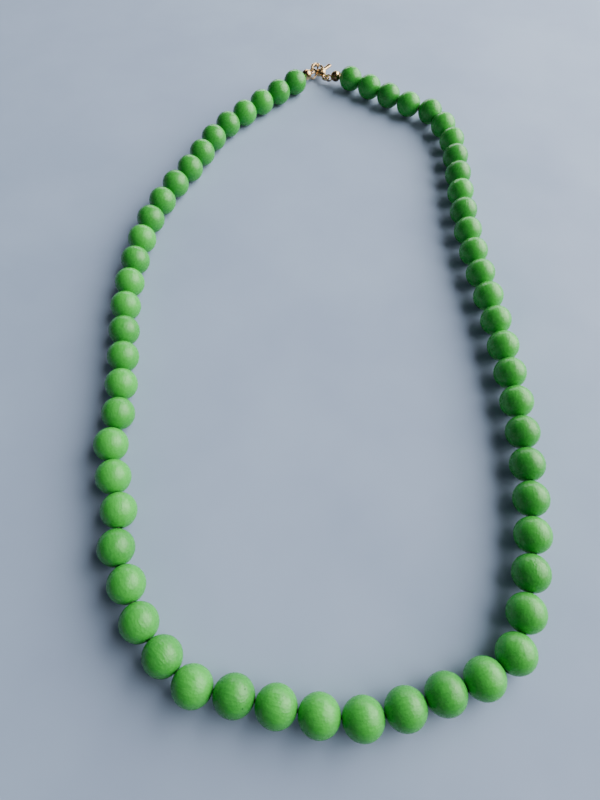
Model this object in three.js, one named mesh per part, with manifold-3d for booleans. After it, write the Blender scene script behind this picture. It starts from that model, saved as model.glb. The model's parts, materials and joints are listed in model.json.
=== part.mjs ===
// A necklace of round painted wooden beads, lying as a closed loop on a flat surface.
// Millimetres, +Z up, the surface at Z = 0. The clasp is at +Y and the front of the loop at -Y.

import * as THREE from 'three';
import { mergeVertices } from 'three/addons/utils/BufferGeometryUtils.js';
import Module from 'manifold-3d';

// Bead string
const BEAD_COUNT = 60;
const BEAD_D = 8.0;
const BEAD_CLEARANCE = 0.15;
const DRILLED_END_D = 2.4;
const THREAD_D = 1.0;
const BEAD_SIDES = 12;
const BEAD_BANDS = 6;
const THREAD_STUB = 0.4;
const ROUTE_DIVISIONS = 2000;

// Bead tips: a clamshell dome with a soldered wire loop
const TIP_D = 3.5;
const TIP_SEAT = 0.9;
const TIP_COLLAR_D = 1.4;
const TIP_SIDES = 14;
const TIP_BANDS = 7;
const LOOP_HOLE_D = 1.65;
const LOOP_WIRE = 0.55;
const LOOP_SINK = 0.05;

// Jump ring, standing on the surface between the left tip's loop and the hook
const RING_D = 5.5;
const RING_WIRE = 0.6;
const RING_LIFT = 0.8;
const RING_SLANT = 30;
const LOOP_ABOVE_RING_CENTRE = 0.9;
const LINK_SIDES = 6;
const LINK_STEPS = 16;

// Clasp. Its own axes: X from the eye to the hook's top, +Y towards the fixed arm
const CLASP_HEADING = 117;
const EYE_HOLE_D = 1.6;
const EYE_WALL = 0.6;
const EYE_THICKNESS = 1.0;
const HOUSING_THICKNESS = 2.2;
const HOUSING_WIDTH = 4.2;
const HOUSING_LENGTH = 4.6;
const HOUSING_CORNER = 0.5;
const HOUSING_WAIST_SHARE = 0.45;
const HOUSING_SHOULDER_SHARE = 0.55;
const NECK_WIDTH = 1.6;
const HOOK_LENGTH = 5.8;
const HOOK_WIDTH = 4.8;
const HOOK_WALL = 1.0;
const HOOK_THICKNESS = 1.6;
const HOOK_OVERLAP = 1.0;
const RING_TO_ARM = 1.1;
const RING_TO_HOOK_MIDDLE = 0.7;
const CURVE_STEPS = 12;

// Lever in the clasp
const PIVOT_X = 4.0;
const PIVOT_Y = -0.7;
const PIN_D = 0.7;
const PIN_SIDES = 16;
const PIN_CLEARANCE = 0.12;
const RIVET_D = 1.1;
const RIVET_HEIGHT = 0.15;
const HUB_D = 2.1;
const SLOT_CLEARANCE = 0.2;
const SLOT_PAST_HOUSING = 1.45;
const LEVER_THICKNESS = 0.9;
const GATE_WALL = 0.8;
const GATE_REACH = 3.55;
const GATE_GAP = 0.2;
const GATE_ROOT_ANGLE = -135;
const TAB_LENGTH = 3.7;
const TAB_ROOT_WIDTH = 1.2;
const TAB_END_WIDTH = 1.7;
const TAB_LEAN = 1.3;
const TAB_CROWN = 0.4;

// Route of the bead centres, seen from above, from the left tip round the front to the right tip
const ROUTE = [
  [-4.6, 92.9], [-16.0, 81.4], [-26.9, 69.5], [-31.2, 62.6], [-34.4, 55.1], [-37.6, 47.6],
  [-41.4, 40.4], [-47.2, 25.2], [-49.5, 9.1], [-49.8, -7.1], [-48.0, -23.3], [-46.6, -39.7],
  [-47.0, -47.8], [-45.2, -55.9], [-42.7, -63.6], [-42.0, -71.7], [-38.7, -79.2], [-35.1, -86.5],
  [-29.8, -92.6], [-23.6, -97.8], [-15.6, -99.5], [8.3, -103.3], [24.1, -99.4], [31.9, -96.9],
  [38.9, -92.7], [42.5, -85.4], [47.1, -69.7], [49.2, -53.5], [49.9, -37.2], [49.1, -12.5],
  [46.9, 11.9], [46.4, 28.0], [47.3, 52.3], [47.3, 60.5], [45.5, 68.5], [42.0, 75.9],
  [35.0, 80.1], [15.4, 95.1],
];

// Sizes that follow from the ones above
const BEAD_R = BEAD_D / 2;
const BEAD_PITCH = BEAD_D + BEAD_CLEARANCE;
const DRILLED_END_R = DRILLED_END_D / 2;
const BEAD_HALF_LENGTH = Math.sqrt(BEAD_R ** 2 - DRILLED_END_R ** 2);
const LOOP_R = (LOOP_HOLE_D + LOOP_WIRE) / 2;
const LOOP_AT = TIP_SEAT + TIP_D + LOOP_HOLE_D / 2 - LOOP_SINK;
const RING_R = (RING_D - RING_WIRE) / 2;
const RING_Z = RING_D / 2;
const CLASP_Z = RING_WIRE + RING_LIFT + HOOK_THICKNESS / 2;
const EYE_R = EYE_HOLE_D / 2 + EYE_WALL;
const HOOK_X = HOUSING_LENGTH - HOOK_OVERLAP + HOOK_LENGTH / 2;
const SLOT_THICKNESS = LEVER_THICKNESS + 2 * SLOT_CLEARANCE;

const wasm = await Module();
wasm.setup();

const UP = new THREE.Vector3(0, 0, 1);
const radians = THREE.MathUtils.degToRad;

/** A closed geometry as a solid, with shared vertices merged and empty triangles dropped. */
function solid(geometry) {
  const bare = geometry.clone();
  bare.deleteAttribute('normal');
  bare.deleteAttribute('uv');
  const merged = mergeVertices(bare, 1e-5);
  const index = merged.index.array;
  const kept = [];
  for (let i = 0; i < index.length; i += 3) {
    const [a, b, c] = [index[i], index[i + 1], index[i + 2]];
    if (a !== b && b !== c && c !== a) kept.push(a, b, c);
  }
  return new wasm.Manifold(new wasm.Mesh({
    numProp: 3,
    vertProperties: Float32Array.from(merged.attributes.position.array),
    triVerts: Uint32Array.from(kept),
  }));
}

/** All the solids joined into one. */
function join(solids) {
  return solids.reduce((whole, next) => whole.add(next));
}

/** A named mesh of a solid, in a colour and a roughness. */
function meshOf(name, body, look) {
  const { vertProperties, triVerts } = body.getMesh();
  const geometry = new THREE.BufferGeometry();
  geometry.setAttribute('position', new THREE.BufferAttribute(Float32Array.from(vertProperties), 3));
  geometry.setIndex(new THREE.BufferAttribute(Uint32Array.from(triVerts), 1));
  geometry.computeVertexNormals();
  const mesh = new THREE.Mesh(geometry, new THREE.MeshStandardMaterial(look));
  mesh.name = name;
  return mesh;
}

/** A flat outline raised to a thickness, centred on Z = 0. */
function slab(shape, thickness) {
  const options = { depth: thickness, bevelEnabled: false, curveSegments: CURVE_STEPS };
  const geometry = new THREE.ExtrudeGeometry(shape, options);
  return solid(geometry.translate(0, 0, -thickness / 2));
}

/** A round bar along Z, centred on a point. */
function bar(x, y, diameter, length) {
  const geometry = new THREE.CylinderGeometry(diameter / 2, diameter / 2, length, PIN_SIDES);
  return solid(geometry.rotateX(Math.PI / 2).translate(x, y, 0));
}

/** The matrix that stands local +Y along a direction, with local +Z turned as near to up as it goes. */
function along(direction, origin) {
  const y = direction.clone().normalize();
  const x = y.clone().cross(UP).normalize();
  const z = x.clone().cross(y);
  return new THREE.Matrix4().makeBasis(x, y, z).setPosition(origin);
}

/**
 * Bead centres, evenly spaced along the route. The route is sized so that the beads fill it, and both
 * halves then lean in or out a little, so that the clasp's ends stay as far apart as the route has them.
 */
function beadCentres() {
  const points = ROUTE.map(([x, y]) => new THREE.Vector3(x, y, 0));
  const curve = new THREE.CatmullRomCurve3(points, false, 'centripetal');
  curve.arcLengthDivisions = ROUTE_DIVISIONS;
  const last = BEAD_COUNT - 1;
  const fit = last * BEAD_PITCH / curve.getLength();
  const lean = points[points.length - 1].clone().sub(points[0]).multiplyScalar((fit - 1) / 2);
  return curve.getSpacedPoints(last).map((point, i) => {
    const share = 1 - 2 * i / last;
    return point.multiplyScalar(fit).addScaledVector(lean, share).setZ(BEAD_R);
  });
}

/** The direction of the drilled hole of bead i: the chord between its neighbours. */
function beadAxis(centres, i) {
  const before = centres[Math.max(i - 1, 0)];
  const after = centres[Math.min(i + 1, centres.length - 1)];
  return after.clone().sub(before).normalize();
}

/** A ring of points round a place on a bead's axis, the first one straight up. */
function ringOf(place, offset, radius, sides) {
  return Array.from({ length: sides }, (_, k) => {
    const angle = 2 * Math.PI * k / sides;
    const point = new THREE.Vector3(radius * Math.sin(angle), offset, radius * Math.cos(angle));
    return point.applyMatrix4(place);
  });
}

/** The rings of one bead along its hole, with the thread's ring at each drilled face. */
function beadRings(centre, axis) {
  const place = along(axis, centre);
  const edge = Math.asin(BEAD_HALF_LENGTH / BEAD_R);
  const rings = [ringOf(place, -BEAD_HALF_LENGTH, THREAD_D / 2, BEAD_SIDES / 2)];
  for (let i = 0; i <= BEAD_BANDS; i++) {
    const angle = -edge + 2 * edge * i / BEAD_BANDS;
    rings.push(ringOf(place, BEAD_R * Math.sin(angle), BEAD_R * Math.cos(angle), BEAD_SIDES));
  }
  rings.push(ringOf(place, BEAD_HALF_LENGTH, THREAD_D / 2, BEAD_SIDES / 2));
  return rings;
}

/** A closed skin over rings of points. Neighbouring rings may differ in how many points they have. */
function skinOf(rings) {
  const points = rings.flat();
  const starts = rings.map((_, i) => rings.slice(0, i).flat().length);
  const index = [];
  for (let i = 0; i + 1 < rings.length; i++) {
    const steps = Math.max(rings[i].length, rings[i + 1].length);
    const at = (ring, k) => starts[ring] + Math.floor(k * rings[ring].length / steps) % rings[ring].length;
    for (let k = 0; k < steps; k++) {
      const [a, nextA] = [at(i, k), at(i, k + 1)];
      const [b, nextB] = [at(i + 1, k), at(i + 1, k + 1)];
      if (a !== nextA) index.push(a, nextA, b);
      if (b !== nextB) index.push(nextA, nextB, b);
    }
  }
  const end = starts[starts.length - 1];
  for (let k = 1; k + 1 < rings[0].length; k++) index.push(0, k + 1, k);
  for (let k = 1; k + 1 < rings[rings.length - 1].length; k++) index.push(end, end + k, end + k + 1);
  const geometry = new THREE.BufferGeometry().setFromPoints(points);
  geometry.setIndex(index);
  return solid(geometry);
}

/** The beads from first up to but without last, fused on their thread, with a stub of it at a tip. */
function stringOf(centres, first, last) {
  const rings = [];
  for (let i = first; i < last; i++) rings.push(...beadRings(centres[i], beadAxis(centres, i)));
  if (first === 0) {
    const place = along(beadAxis(centres, first), centres[first]);
    rings.unshift(ringOf(place, -BEAD_HALF_LENGTH - THREAD_STUB, THREAD_D / 2, BEAD_SIDES / 2));
  }
  if (last === centres.length) {
    const place = along(beadAxis(centres, last - 1), centres[last - 1]);
    rings.push(ringOf(place, BEAD_HALF_LENGTH + THREAD_STUB, THREAD_D / 2, BEAD_SIDES / 2));
  }
  return skinOf(rings);
}

/** A round wire ring in the XY plane, centred on the origin. */
function wireRing(radius, wire) {
  return solid(new THREE.TorusGeometry(radius, wire / 2, LINK_SIDES, LINK_STEPS));
}

/** A bead tip on local +Y from the bead's drilled face, with its loop's hole along local Z. */
function tipSolid() {
  const radius = TIP_D / 2;
  const start = Math.asin(TIP_COLLAR_D / TIP_D);
  const profile = [new THREE.Vector2(0, TIP_SEAT)];
  for (let i = 0; i <= TIP_BANDS; i++) {
    const angle = start + (Math.PI - start) * i / TIP_BANDS;
    const x = i === TIP_BANDS ? 0 : radius * Math.sin(angle);
    profile.push(new THREE.Vector2(x, TIP_SEAT + radius * (Math.cos(start) - Math.cos(angle))));
  }
  const dome = solid(new THREE.LatheGeometry(profile, TIP_SIDES));
  return dome.add(wireRing(LOOP_R, LOOP_WIRE).translate([0, LOOP_AT, 0]));
}

/** A closed band of the hook's oval form, with a wall measured inwards from a margin. */
function hookBand(margin, wall, thickness) {
  const shape = new THREE.Shape();
  shape.absellipse(HOOK_X, 0, HOOK_LENGTH / 2 - margin, HOOK_WIDTH / 2 - margin, 0, 2 * Math.PI);
  const hole = new THREE.Path();
  const inner = margin + wall;
  hole.absellipse(HOOK_X, 0, HOOK_LENGTH / 2 - inner, HOOK_WIDTH / 2 - inner, 0, 2 * Math.PI);
  shape.holes.push(hole);
  return slab(shape, thickness);
}

/** The quarter that the gate sweeps, out to a reach from the pivot. */
function gateSector(reach, thickness) {
  const start = radians(GATE_ROOT_ANGLE);
  const shape = new THREE.Shape();
  shape.moveTo(PIVOT_X, PIVOT_Y);
  shape.lineTo(PIVOT_X + reach * Math.cos(start), PIVOT_Y + reach * Math.sin(start));
  shape.absarc(PIVOT_X, PIVOT_Y, reach, start, 0);
  shape.closePath();
  return slab(shape, thickness);
}

/** The eye, with its neck running into the housing. */
function eyeSolid() {
  const shape = new THREE.Shape();
  shape.absarc(0, 0, EYE_R, 0, 2 * Math.PI);
  const hole = new THREE.Path();
  hole.absarc(0, 0, EYE_HOLE_D / 2, 0, 2 * Math.PI);
  shape.holes.push(hole);
  return slab(shape, EYE_THICKNESS);
}

/** The housing's two cheeks and back wall, before the slot is cut. */
function housingSolid() {
  const half = HOUSING_WIDTH / 2;
  const neck = NECK_WIDTH / 2;
  const start = EYE_HOLE_D / 2 + EYE_WALL / 2;
  const waist = HOUSING_LENGTH * HOUSING_WAIST_SHARE;
  const shoulder = HOUSING_LENGTH * HOUSING_SHOULDER_SHARE;
  const end = HOUSING_LENGTH;
  const corner = HOUSING_CORNER;
  const shape = new THREE.Shape();
  shape.moveTo(start, -neck);
  shape.bezierCurveTo(waist, -neck, shoulder, -half, end - corner, -half);
  shape.quadraticCurveTo(end, -half, end, -half + corner);
  shape.lineTo(end, half - corner);
  shape.quadraticCurveTo(end, half, end - corner, half);
  shape.bezierCurveTo(shoulder, half, waist, neck, start, neck);
  shape.closePath();
  return slab(shape, HOUSING_THICKNESS);
}

/** The slot between the cheeks, open towards the gate and the hook. */
function slotSolid() {
  const back = PIVOT_X - HUB_D / 2 - SLOT_CLEARANCE;
  const side = PIVOT_Y + HUB_D / 2 + SLOT_CLEARANCE;
  const end = HOUSING_LENGTH + SLOT_PAST_HOUSING;
  const shape = new THREE.Shape();
  shape.moveTo(back, -HOUSING_WIDTH);
  shape.lineTo(end, -HOUSING_WIDTH);
  shape.lineTo(end, side);
  shape.lineTo(back, side);
  shape.closePath();
  return slab(shape, SLOT_THICKNESS);
}

/** The cast body of the clasp: eye, housing, fixed hook and pivot pin, as one solid. */
function claspBody() {
  const nose = gateSector(GATE_REACH + GATE_GAP, HOOK_THICKNESS * 2);
  const hook = hookBand(0, HOOK_WALL, HOOK_THICKNESS).subtract(nose);
  const shell = join([eyeSolid(), housingSolid(), hook]).subtract(slotSolid());
  const rivet = bar(PIVOT_X, PIVOT_Y, RIVET_D, RIVET_HEIGHT * 2).translate([0, 0, HOUSING_THICKNESS / 2]);
  return join([shell, bar(PIVOT_X, PIVOT_Y, PIN_D, HOUSING_THICKNESS - RIVET_HEIGHT), rivet]);
}

/** The lever: hub, gate arm and thumb tab, as one solid. */
function leverSolid() {
  const margin = (HOOK_WALL - GATE_WALL) / 2;
  const sweep = gateSector(GATE_REACH, LEVER_THICKNESS * 2);
  const gate = hookBand(margin, GATE_WALL, LEVER_THICKNESS).intersect(sweep);
  const root = -HOOK_WIDTH / 2 + HOOK_WALL / 2;
  const end = root - TAB_LENGTH;
  const rootX = PIVOT_X + HUB_D / 2;
  const endX = rootX + TAB_LEAN;
  const tab = new THREE.Shape();
  tab.moveTo(rootX - TAB_ROOT_WIDTH / 2, root);
  tab.lineTo(endX - TAB_END_WIDTH / 2, end);
  tab.quadraticCurveTo(endX, end - TAB_CROWN, endX + TAB_END_WIDTH / 2, end);
  tab.lineTo(rootX + TAB_ROOT_WIDTH / 2, root);
  tab.closePath();
  const hub = bar(PIVOT_X, PIVOT_Y, HUB_D, LEVER_THICKNESS);
  const arms = join([gate, slab(tab, LEVER_THICKNESS), hub]);
  return arms.subtract(bar(PIVOT_X, PIVOT_Y, PIN_D + 2 * PIN_CLEARANCE, LEVER_THICKNESS * 2));
}

/** The crossing of two circles in plan that lies on the left of the way from a to b. */
function crossing(a, radiusA, b, radiusB) {
  const span = b.clone().sub(a);
  const reach = span.length();
  const run = (radiusA ** 2 - radiusB ** 2 + reach ** 2) / (2 * reach);
  const rise = Math.sqrt(radiusA ** 2 - run ** 2);
  const step = span.divideScalar(reach);
  return new THREE.Vector2(a.x + run * step.x - rise * step.y, a.y + run * step.y + rise * step.x);
}

/** Where the eye, the left loop and both ends of the bead string come to lie, in plan. */
function claspLayout(centres) {
  const last = centres.length - 1;
  const leftFace = centres[0].clone().addScaledVector(beadAxis(centres, 0), -BEAD_HALF_LENGTH);
  const rightFace = centres[last].clone().addScaledVector(beadAxis(centres, last), BEAD_HALF_LENGTH);
  const loopZ = RING_Z + LOOP_ABOVE_RING_CENTRE;
  const ringAtLoop = Math.sqrt(RING_R ** 2 - LOOP_ABOVE_RING_CENTRE ** 2);
  const ringAtHook = Math.sqrt(RING_R ** 2 - (CLASP_Z - RING_Z) ** 2);
  const heading = radians(CLASP_HEADING);
  const origin = new THREE.Vector2();
  const inHook = new THREE.Vector2(HOOK_X - RING_TO_HOOK_MIDDLE, HOOK_WIDTH / 2 - HOOK_WALL - RING_TO_ARM);
  inHook.rotateAround(origin, heading);
  const slant = new THREE.Vector2(0, 1).rotateAround(origin, heading + radians(RING_SLANT));
  const loopFromEye = inHook.clone().addScaledVector(slant, ringAtLoop + ringAtHook);
  const leftReach = Math.sqrt(LOOP_AT ** 2 - (BEAD_R - loopZ) ** 2);
  const rim = EYE_HOLE_D / 2 + EYE_WALL / 2;
  const rightReach = Math.sqrt(LOOP_AT ** 2 - (BEAD_R - CLASP_Z) ** 2) + rim;
  const eye = crossing(
    new THREE.Vector2(leftFace.x, leftFace.y).sub(loopFromEye), leftReach,
    new THREE.Vector2(rightFace.x, rightFace.y), rightReach,
  );
  const loop = eye.clone().add(loopFromEye);
  const ring = eye.clone().add(inHook).addScaledVector(slant, ringAtHook);
  const eyeCentre = new THREE.Vector3(eye.x, eye.y, CLASP_Z);
  const toFace = rightFace.clone().setZ(CLASP_Z).sub(eyeCentre).normalize();
  return {
    leftFace,
    rightFace,
    eye: eyeCentre,
    eyeRim: eyeCentre.clone().addScaledVector(toFace, rim),
    loop: new THREE.Vector3(loop.x, loop.y, loopZ),
    ring: new THREE.Vector3(ring.x, ring.y, RING_Z),
    slant,
    heading,
  };
}

const PAINT = { color: 0x4fa83a, roughness: 0.42, metalness: 0 };
const GOLD = { color: 0xd9a94e, roughness: 0.22, metalness: 1 };

const necklace = new THREE.Group();
const centres = beadCentres();
const middle = Math.floor(BEAD_COUNT / 2);
const layout = claspLayout(centres);

necklace.add(meshOf('bead_string_left', stringOf(centres, 0, middle), PAINT));
necklace.add(meshOf('bead_string_right', stringOf(centres, middle, BEAD_COUNT), PAINT));

const leftTip = meshOf('bead_tip_left', tipSolid(), GOLD);
leftTip.applyMatrix4(along(layout.loop.clone().sub(layout.leftFace), layout.leftFace));
necklace.add(leftTip);

const rightTip = meshOf('bead_tip_right', tipSolid().rotate([0, 90, 0]), GOLD);
rightTip.applyMatrix4(along(layout.eyeRim.clone().sub(layout.rightFace), layout.rightFace));
necklace.add(rightTip);

const ring = meshOf('jump_ring', wireRing(RING_R, RING_WIRE).rotate([90, 0, 0]), GOLD);
ring.position.copy(layout.ring);
ring.rotation.z = Math.atan2(layout.slant.y, layout.slant.x);
necklace.add(ring);

const clasp = new THREE.Group();
clasp.position.copy(layout.eye);
clasp.rotation.z = layout.heading;
clasp.add(meshOf('clasp_body', claspBody(), GOLD));
clasp.add(meshOf('clasp_lever', leverSolid(), GOLD));
necklace.add(clasp);

export default necklace;
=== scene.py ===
"""A beaded necklace of painted wooden beads with a gold lobster clasp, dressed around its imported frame."""

import json
import logging
import math
from dataclasses import dataclass
from enum import Enum
from typing import Sequence

import bpy
import numpy as np
from mathutils import Matrix, Vector


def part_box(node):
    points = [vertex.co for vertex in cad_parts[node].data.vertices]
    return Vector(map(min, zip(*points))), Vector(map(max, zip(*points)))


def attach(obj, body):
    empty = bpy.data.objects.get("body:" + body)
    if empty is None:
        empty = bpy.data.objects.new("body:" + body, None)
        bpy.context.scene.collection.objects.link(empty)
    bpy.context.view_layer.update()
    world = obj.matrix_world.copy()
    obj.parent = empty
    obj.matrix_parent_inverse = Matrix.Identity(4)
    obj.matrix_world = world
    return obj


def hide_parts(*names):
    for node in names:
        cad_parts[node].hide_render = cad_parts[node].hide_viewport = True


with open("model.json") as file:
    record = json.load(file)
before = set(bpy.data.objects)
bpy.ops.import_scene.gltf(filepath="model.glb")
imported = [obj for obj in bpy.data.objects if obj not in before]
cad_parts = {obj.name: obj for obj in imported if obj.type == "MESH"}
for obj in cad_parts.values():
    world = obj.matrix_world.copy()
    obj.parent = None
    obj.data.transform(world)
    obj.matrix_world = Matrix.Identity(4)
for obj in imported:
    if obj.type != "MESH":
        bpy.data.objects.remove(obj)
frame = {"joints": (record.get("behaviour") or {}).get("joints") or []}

MM = 0.001
WELD_REACH = 0.003 * MM
UP = np.array([0.0, 0.0, 1.0])
ROUND = 2.0
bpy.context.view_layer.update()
LOG = logging.getLogger("necklace")

Rings = list[np.ndarray]
Faces = list[tuple[int, ...]]
Skin = tuple[np.ndarray, Faces]
Socket = bpy.types.NodeSocket
Colour = tuple[float, float, float, float]
LampColour = tuple[float, float, float]
Range = tuple[float, float]


class End(Enum):
    """The two ends of the bead string, which meet at the clasp."""

    LEFT = "left"
    RIGHT = "right"


class Mode(Enum):
    """How a row of rings is closed at its ends."""

    CAPPED = "capped"
    LOOPED = "looped"


# Meshes


def mesh_object(name: str, points: np.ndarray, faces: Sequence[Sequence[int]]) -> bpy.types.Object:
    """Makes a smooth-shaded mesh object in the scene.

    Args:
        name: The object's name.
        points: Vertex places in metres.
        faces: Vertex numbers of each face, outward side anticlockwise.

    Returns:
        The new object, linked to the scene.
    """
    mesh = bpy.data.meshes.new(name)
    mesh.from_pydata([tuple(p) for p in points], [], [tuple(f) for f in faces])
    mesh.polygons.foreach_set("use_smooth", [True] * len(mesh.polygons))
    mesh.update()
    made = bpy.data.objects.new(name, mesh)
    bpy.context.scene.collection.objects.link(made)
    return made


def skin(rings: Rings, mode: Mode) -> Skin:
    """Covers a row of rings, each with as many points, with quads.

    Args:
        rings: Arrays of ring points, in order along the form.
        mode: Whether the ends are capped or joined to each other.

    Returns:
        The points and the faces of the closed skin.
    """
    sides = len(rings[0])
    count = len(rings)
    spans = count if mode is Mode.LOOPED else count - 1
    faces: Faces = []
    for i in range(spans):
        a, b = i * sides, (i + 1) % count * sides
        for k in range(sides):
            n = (k + 1) % sides
            faces.append((a + k, a + n, b + n, b + k))
    if mode is Mode.CAPPED:
        faces.append(tuple(reversed(range(sides))))
        faces.append(tuple(range((count - 1) * sides, count * sides)))
    return np.concatenate(rings), faces


def joined(skins: Sequence[Skin]) -> Skin:
    """Puts several skins into one list of points and one of faces.

    Args:
        skins: Points and faces of each skin.

    Returns:
        The points and the faces of them all.
    """
    points, faces, start = [], [], 0
    for part, part_faces in skins:
        points.append(part)
        faces.extend(tuple(i + start for i in face) for face in part_faces)
        start += len(part)
    return np.concatenate(points), faces


def turns(count: int) -> np.ndarray:
    """Angles evenly spaced round a whole turn, without the last."""
    return 2 * np.pi * np.arange(count) / count


def oval(half_width: float, half_height: float, squareness: float, sides: int) -> np.ndarray:
    """A rounded oval cross-section.

    Args:
        half_width: Half its size across, the first of the two values of each point.
        half_height: Half its size up, the second value.
        squareness: ROUND for an ellipse, and more for flatter faces with rounded corners.
        sides: Number of points.

    Returns:
        An array of points, two values each.
    """
    c, s = np.cos(turns(sides)), np.sin(turns(sides))
    power = 2 / squareness
    x = half_width * np.sign(c) * np.abs(c) ** power
    y = half_height * np.sign(s) * np.abs(s) ** power
    return np.stack([x, y], axis=1)


def swept(path: np.ndarray, sections: Sequence[np.ndarray], up: np.ndarray, mode: Mode) -> Skin:
    """Sweeps a cross-section, which may change, along a path.

    Args:
        path: Points of the path.
        sections: A cross-section for each point: across the path, and along up.
        up: The direction that the second value of a section follows.
        mode: Whether the ends are capped or joined to each other.

    Returns:
        The points and the faces of the closed skin.
    """
    if mode is Mode.LOOPED:
        tangents = np.roll(path, -1, axis=0) - np.roll(path, 1, axis=0)
    else:
        tangents = np.gradient(path, axis=0)
    rings = []
    for place, tangent, section in zip(path, tangents, sections):
        along = tangent / np.linalg.norm(tangent)
        across = np.cross(along, up)
        across /= np.linalg.norm(across)
        lift = np.cross(across, along)
        rings.append(place + section[:, :1] * across + section[:, 1:] * lift)
    return skin(rings[::-1], mode)


def domed_ends(count: int, share: float, smallest: float = 0.05) -> np.ndarray:
    """Scales for a row of sections that closes in a round end on both sides.

    Args:
        count: Number of sections.
        share: The share of the row, at each end, that is rounded.
        smallest: The scale of the two end sections.

    Returns:
        A scale from the smallest to 1 for each section.
    """
    t = np.linspace(0, 1, count)
    edge = np.clip(np.minimum(t, 1 - t) / share, 0, 1)
    return smallest + (1 - smallest) * np.sqrt(1 - (1 - edge) ** 2)


def domed_tip(count: int, share: float) -> np.ndarray:
    """Scales as domed_ends gives them, for a row that is rounded at its last end alone."""
    return np.where(np.linspace(0, 1, count) > 0.5, domed_ends(count, share), 1.0)


def round_wire(diameter: float, sides: int) -> np.ndarray:
    """The cross-section of a round wire or strand."""
    return oval(diameter / 2, diameter / 2, ROUND, sides)


def run_along(line: np.ndarray) -> np.ndarray:
    """How far each point of a line is from its first, along the line."""
    return np.concatenate([[0], np.cumsum(np.linalg.norm(np.diff(line, axis=0), axis=1))])


def basis_along(direction: np.ndarray) -> np.ndarray:
    """The axes of a piece that points along a direction, with its Z turned as near to up as it goes.

    Args:
        direction: Where the piece's Y axis points.

    Returns:
        A 3 by 3 array whose rows are the X, Y and Z axes.
    """
    y = direction / np.linalg.norm(direction)
    x = np.cross(y, UP)
    x /= np.linalg.norm(x)
    return np.stack([x, y, np.cross(x, y)])


def baked(target: bpy.types.Object) -> bpy.types.Object:
    """Applies an object's modifiers to its mesh.

    Args:
        target: The object, which keeps its name.

    Returns:
        The same object, without modifiers.
    """
    graph = bpy.context.evaluated_depsgraph_get()
    final = bpy.data.meshes.new_from_object(target.evaluated_get(graph))
    target.modifiers.clear()
    target.data = final
    final.polygons.foreach_set("use_smooth", [True] * len(final.polygons))
    return target


def cast_in_one(target: bpy.types.Object, grain: float, rounds: int) -> bpy.types.Object:
    """Melts the closed shells of a mesh into one body with soft, polished edges.

    Args:
        target: The object whose mesh holds the shells.
        grain: Size of the cells that the body is built from, in metres.
        rounds: How many times the surface is smoothed.

    Returns:
        The same object.
    """
    melt = target.modifiers.new("melt", "REMESH")
    melt.mode = "VOXEL"
    melt.voxel_size = grain
    melt.adaptivity = 0.0
    if rounds:
        polish = target.modifiers.new("polish", "SMOOTH")
        polish.factor = 0.5
        polish.iterations = rounds
    return baked(target)


def cut_away(target: bpy.types.Object, cutter: bpy.types.Object) -> bpy.types.Object:
    """Cuts one closed mesh out of another and deletes the cutter.

    Args:
        target: The object to cut.
        cutter: The form that is taken away.

    Returns:
        The cut object.
    """
    cut = target.modifiers.new("cut", "BOOLEAN")
    cut.operation = "DIFFERENCE"
    cut.solver = "EXACT"
    cut.object = cutter
    weld = target.modifiers.new("weld", "WELD")
    weld.merge_threshold = WELD_REACH
    baked(target)
    bpy.data.objects.remove(cutter)
    return target


# Finishes

CLOUDED: Range = (0.3, 0.7)
MOTTLED: Range = (0.35, 0.65)


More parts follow.
